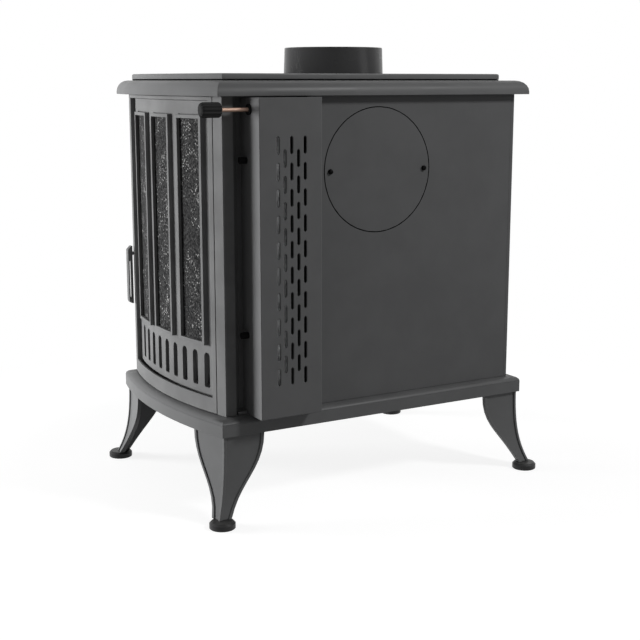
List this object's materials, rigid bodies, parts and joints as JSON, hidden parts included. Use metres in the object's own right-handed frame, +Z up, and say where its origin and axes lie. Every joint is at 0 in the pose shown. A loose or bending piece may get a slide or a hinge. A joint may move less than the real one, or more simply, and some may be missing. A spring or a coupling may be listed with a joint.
{
  "type": "solid-fuel box stove",
  "caption": "Cast-iron box stove with a bowed three-window door, louvred foot, slotted side fairings, top flue collar, air control rod and cabriole legs.",
  "frame": {"origin": "on the floor, under the middle of the stove's bounding box", "axes": "+Z up, front with the door towards -Y, +X to the right seen from the front"},
  "size_m": [0.456, 0.618, 0.711],
  "materials": {
    "casting": "charcoal matt stove paint on cast iron, slight cool cast",
    "sheet": "charcoal matt stove paint on folded sheet steel",
    "black_steel": "black satin painted steel",
    "bright_steel": "plain machined and plated steel",
    "copper_rod": "copper-coloured heat-tinted control rod",
    "knob": "black ribbed heat-resistant knob",
    "screen": "blackened pressed metal screen with a lattice pattern",
    "glass": "dark heat-resistant glass",
    "rope": "grey woven rope seal",
    "brick": null
  },
  "bodies": {
    "body": {"air_duct": "bright_steel", "air_duct_cap": "bright_steel", "ash_pan": "sheet", "back_panel": "casting", "baffle_plate": "casting", "base_frame": "casting", "bottom_plate": "casting", "deck_plate": "casting", "fairing_bolt_left_lower": "black_steel", "fairing_bolt_left_upper": "black_steel", "fairing_bolt_right_lower": "black_steel", "fairing_bolt_right_upper": "black_steel", "fairing_left": "sheet", "fairing_right": "sheet", "firebox_front_plate": "casting", "firebox_wall_left": "casting", "firebox_wall_right": "casting", "firebrick_back": "brick", "firebrick_left": "brick", "firebrick_right": "brick", "flue_collar": "casting", "foot_pad_front_left": "black_steel", "foot_pad_front_right": "black_steel", "foot_pad_rear_left": "black_steel", "foot_pad_rear_right": "black_steel", "front_post_right": "casting", "grate": "casting", "grate_rail_left": "casting", "grate_rail_right": "casting", "hinge_pin_lower": "bright_steel", "hinge_pin_upper": "bright_steel", "latch_keeper": "bright_steel", "leg_front_left": "casting", "leg_front_right": "casting", "leg_rear_left": "casting", "leg_rear_right": "casting", "log_retainer": "casting", "raised_top_plate": "casting", "rod_bush": "black_steel", "side_cover_left": "casting", "side_cover_right": "casting", "side_panel_left": "casting", "side_panel_right": "casting", "top_plate": "casting"},
    "door": {"door_leaf": "casting", "door_gasket": "rope", "glass_bar_lower": "bright_steel", "glass_bar_upper": "bright_steel", "window_screen_left": "screen", "window_screen_middle": "screen", "window_screen_right": "screen", "window_glass_left": "glass", "window_glass_middle": "glass", "window_glass_right": "glass"},
    "handle": {"door_handle": "casting", "handle_spindle": "bright_steel", "latch_cam": "bright_steel"},
    "air_control": {"air_rod": "copper_rod", "air_knob": "knob", "air_slide": "bright_steel"}
  },
  "joints": [
    {"name": "door_hinge", "type": "hinge", "parent": "body", "child": "door", "pos_m": [0.15, -0.26601, 0.3985], "axis": [0, 0, 1], "range_deg": [0, 90]},
    {"name": "handle_turn", "type": "hinge", "parent": "door", "child": "handle", "pos_m": [-0.1713, -0.28, 0.368], "axis": [0, 1, 0], "range_deg": [0, 45]},
    {"name": "air_control_slide", "type": "slide", "parent": "body", "child": "air_control", "axis": [0, -1, 0], "range_m": [0, 0.035]}
  ]
}
